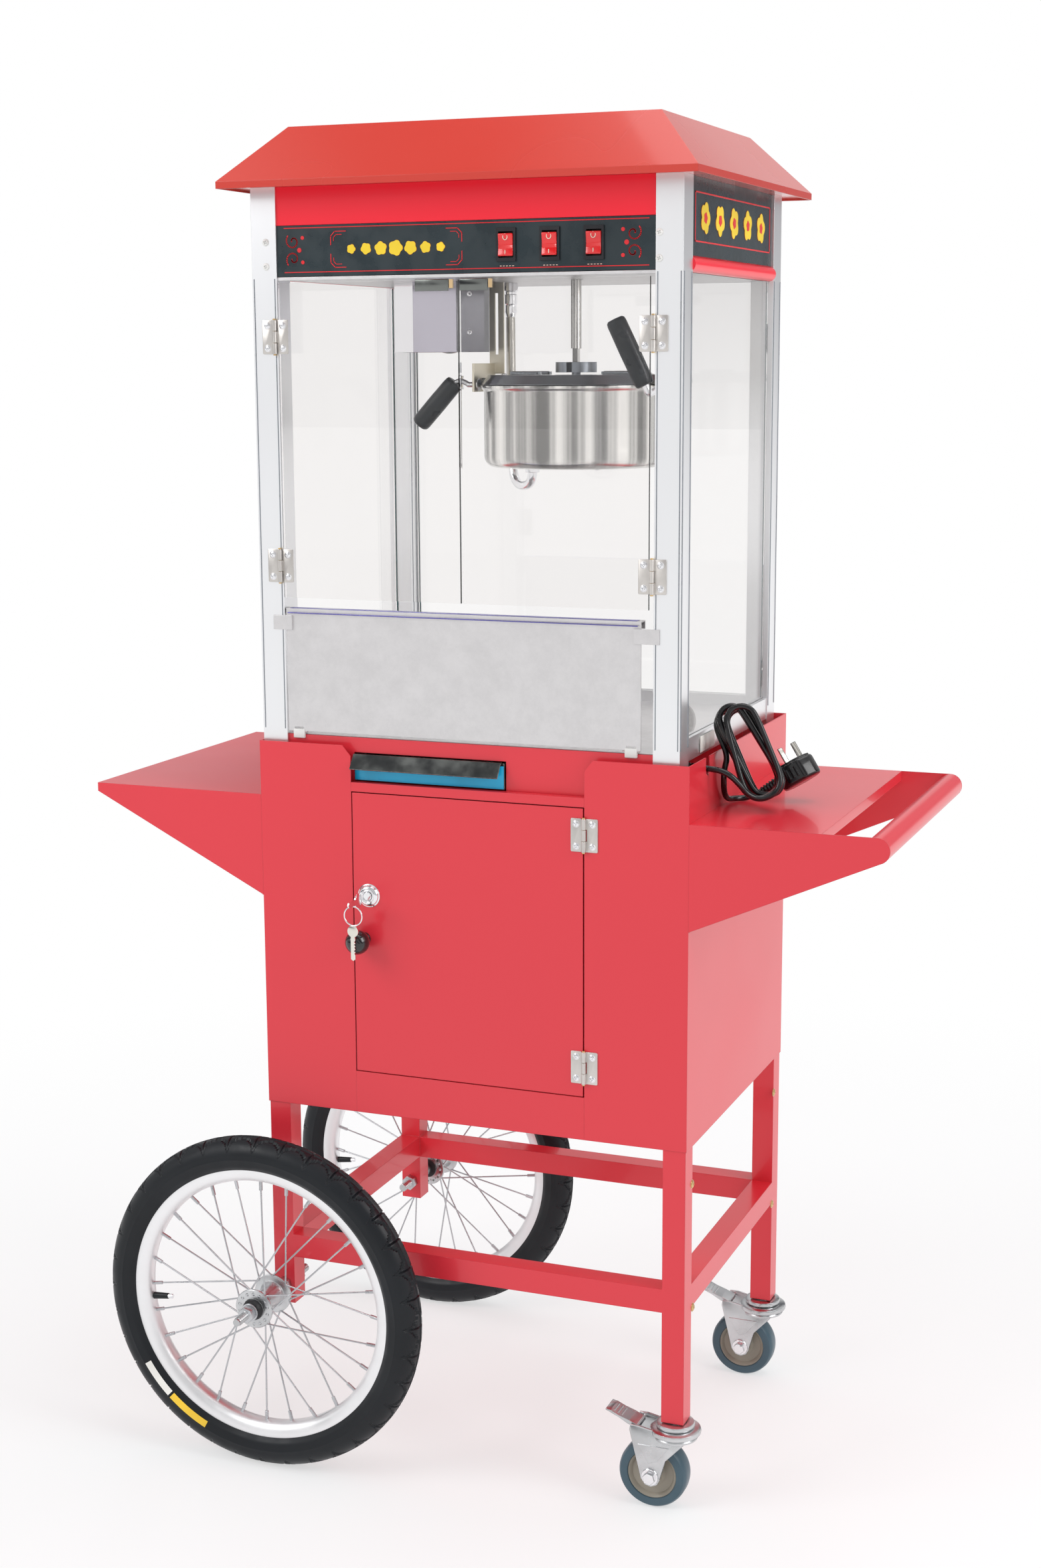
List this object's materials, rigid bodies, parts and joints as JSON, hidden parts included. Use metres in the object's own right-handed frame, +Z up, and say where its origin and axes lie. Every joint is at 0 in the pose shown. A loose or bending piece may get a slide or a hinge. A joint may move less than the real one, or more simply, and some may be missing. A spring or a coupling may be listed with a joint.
{
  "type": "popcorn machine on a wheeled cart",
  "caption": "Popcorn machine with a glass case, tipping kettle and lamp, on a red sheet-metal cart with a cabinet, side shelves, push handle, spoked wheels and braked casters.",
  "frame": {"origin": "on the floor under the middle of the cart, which is the middle of the bounding box without the mains cord", "axes": "+X towards the push handle, the serving doors face -Y, +Z up"},
  "size_m": [0.943, 0.634, 1.529],
  "materials": {
    "red_enamel": "glossy powder coat",
    "red_header": "glossy powder coat",
    "dark_panel": "satin decal film",
    "post_aluminium": "polished",
    "steel_sheet": "brushed",
    "kettle_steel": "polished",
    "dark_steel": "dark stainless",
    "chrome": "mirror",
    "zinc": "zinc plated",
    "hinge_steel": "bright",
    "tyre_rubber": "matt",
    "caster_rubber": "matt",
    "grip_plastic": "fine texture",
    "bezel_plastic": "satin",
    "rocker_red": "translucent gloss",
    "foot_plastic": "matt",
    "clear_glass": "clear",
    "lamp_glass": "frosted",
    "cord_rubber": "satin"
  },
  "bodies": {
    "cart": {"lower_frame": "red_enamel", "cabinet_left_panel": "red_enamel", "cabinet_right_panel": "red_enamel", "cabinet_back_panel": "red_enamel", "cabinet_front_bands": "red_enamel", "cabinet_decks": "red_enamel", "shelf_left": "red_enamel", "shelf_right": "red_enamel", "push_handle": "red_enamel", "wheel_axles": "zinc", "fixed_hinge_leaves": "hinge_steel", "case_frame": "post_aluminium", "glass_panes": "clear_glass", "header_case": "red_header", "sign_panels": "dark_panel", "ceiling_plate": "steel_sheet", "switch_bezels": "bezel_plastic", "roof": "red_enamel", "popper_base": "red_enamel", "corn_floor": "steel_sheet", "panel_feet": "foot_plastic", "lamp_shade": "chrome", "lamp_bulb": "lamp_glass", "kettle_hangers": "zinc", "heater_conduit": "chrome", "drive_motor": "dark_steel", "cord_gland": "cord_rubber", "power_cord": "cord_rubber", "cord_hank": "cord_rubber", "power_plug": "cord_rubber"},
    "wheel_front": {"spoked_wheel_front": "chrome", "tyre_front": "tyre_rubber"},
    "wheel_back": {"spoked_wheel_back": "chrome", "tyre_back": "tyre_rubber"},
    "caster_front": {"caster_fork_front": "zinc"},
    "caster_back": {"caster_fork_back": "zinc"},
    "caster_roller_front": {"caster_wheel_front": "caster_rubber"},
    "caster_roller_back": {"caster_wheel_back": "caster_rubber"},
    "pedal_front": {"brake_pedal_front": "zinc"},
    "pedal_back": {"brake_pedal_back": "zinc"},
    "store_door": {"cabinet_door": "red_enamel", "cabinet_door_fittings": "grip_plastic"},
    "key": {"door_key": "chrome"},
    "drawer": {"crumb_drawer": "dark_steel"},
    "door_left": {"glass_door_left": "clear_glass", "door_fittings_left": "dark_steel"},
    "door_right": {"glass_door_right": "clear_glass", "door_fittings_right": "dark_steel"},
    "panel": {"serving_panel": "steel_sheet"},
    "kettle": {"kettle_pot": "kettle_steel", "kettle_bridge": "kettle_steel", "dump_handle": "grip_plastic"},
    "lid_front": {"kettle_lid_front": "kettle_steel"},
    "lid_back": {"kettle_lid_back": "kettle_steel"},
    "latch": {"latch_lever": "grip_plastic"},
    "shaft": {"drive_shaft": "kettle_steel"},
    "stirrer": {"stirrer": "kettle_steel"},
    "rocker_left": {"rocker_left": "rocker_red"},
    "rocker_middle": {"rocker_middle": "rocker_red"},
    "rocker_right": {"rocker_right": "rocker_red"}
  },
  "joints": [
    {"name": "glass_door_left_swing", "type": "hinge", "parent": "cart", "child": "door_left", "pos_m": [-0.2265, -0.1926, 1.178], "axis": [0, 0, -1], "range_deg": [0, 110]},
    {"name": "glass_door_right_swing", "type": "hinge", "parent": "cart", "child": "door_right", "pos_m": [0.2105, -0.1926, 1.178], "axis": [0, 0, 1], "range_deg": [0, 110]},
    {"name": "serving_panel_tilt", "type": "hinge", "parent": "cart", "child": "panel", "pos_m": [-0.012, -0.1875, 0.866], "axis": [1, 0, 0], "range_deg": [0, 30]},
    {"name": "kettle_tilt", "type": "hinge", "parent": "cart", "child": "kettle", "pos_m": [0.0565, 0, 1.254], "axis": [1, 0, 0], "range_deg": [0, 50], "deforming": ["heater_conduit"]},
    {"name": "latch_turn", "type": "hinge", "parent": "cart", "child": "latch", "pos_m": [-0.06, -0.017, 1.25], "axis": [1, 0, 0], "range_deg": [0, 40]},
    {"name": "drive_shaft_spin", "type": "hinge", "parent": "cart", "child": "shaft", "pos_m": [0.0565, 0, 1.33], "axis": [0, 0, 1], "continuous": true},
    {"name": "stirrer_spin", "type": "hinge", "parent": "kettle", "child": "stirrer", "pos_m": [0.0565, 0, 1.23], "axis": [0, 0, 1], "continuous": true},
    {"name": "lid_front_swing", "type": "hinge", "parent": "kettle", "child": "lid_front", "pos_m": [0.0565, -0.0182, 1.2629], "axis": [-1, 0, 0], "range_deg": [0, 75]},
    {"name": "lid_back_swing", "type": "hinge", "parent": "kettle", "child": "lid_back", "pos_m": [0.0565, 0.0182, 1.2629], "axis": [-1, 0, 0], "range_deg": [-75, 0]},
    {"name": "crumb_drawer_slide", "type": "slide", "parent": "cart", "child": "drawer", "axis": [0, -1, 0], "range_m": [0, 0.22]},
    {"name": "store_door_swing", "type": "hinge", "parent": "cart", "child": "store_door", "pos_m": [0.1373, -0.2001, 0.64], "axis": [0, 0, 1], "range_deg": [0, 110]},
    {"name": "door_key_turn", "type": "hinge", "parent": "store_door", "child": "key", "pos_m": [-0.1215, -0.19, 0.6835], "axis": [0, 1, 0], "range_deg": [0, 90]},
    {"name": "rocker_left_rock", "type": "hinge", "parent": "cart", "child": "rocker_left", "pos_m": [0.0465, -0.185, 1.3965], "axis": [-1, 0, 0], "range_deg": [0, 16]},
    {"name": "rocker_middle_rock", "type": "hinge", "parent": "cart", "child": "rocker_middle", "pos_m": [0.0955, -0.185, 1.3965], "axis": [-1, 0, 0], "range_deg": [0, 16]},
    {"name": "rocker_right_rock", "type": "hinge", "parent": "cart", "child": "rocker_right", "pos_m": [0.1445, -0.185, 1.3965], "axis": [-1, 0, 0], "range_deg": [0, 16]},
    {"name": "wheel_front_spin", "type": "hinge", "parent": "cart", "child": "wheel_front", "pos_m": [-0.2413, -0.25, 0.2], "axis": [0, 1, 0], "continuous": true},
    {"name": "caster_front_swivel", "type": "hinge", "parent": "cart", "child": "caster_front", "pos_m": [0.2413, -0.1833, 0.11], "axis": [0, 0, 1], "continuous": true},
    {"name": "caster_front_roll", "type": "hinge", "parent": "caster_front", "child": "caster_roller_front", "pos_m": [0.2173, -0.1833, 0.04], "axis": [0, 1, 0], "continuous": true},
    {"name": "brake_front_press", "type": "hinge", "parent": "caster_front", "child": "pedal_front", "pos_m": [0.2003, -0.1833, 0.096], "axis": [0, -1, 0], "range_deg": [0, 10]},
    {"name": "wheel_back_spin", "type": "hinge", "parent": "cart", "child": "wheel_back", "pos_m": [-0.2413, 0.25, 0.2], "axis": [0, 1, 0], "continuous": true},
    {"name": "caster_back_swivel", "type": "hinge", "parent": "cart", "child": "caster_back", "pos_m": [0.2413, 0.1833, 0.11], "axis": [0, 0, 1], "continuous": true},
    {"name": "caster_back_roll", "type": "hinge", "parent": "caster_back", "child": "caster_roller_back", "pos_m": [0.2173, 0.1833, 0.04], "axis": [0, 1, 0], "continuous": true},
    {"name": "brake_back_press", "type": "hinge", "parent": "caster_back", "child": "pedal_back", "pos_m": [0.2003, 0.1833, 0.096], "axis": [0, -1, 0], "range_deg": [0, 10]}
  ],
  "couplings": [
    {"joint": "drive_shaft_spin", "follows": "stirrer_spin", "ratio": 1}
  ]
}
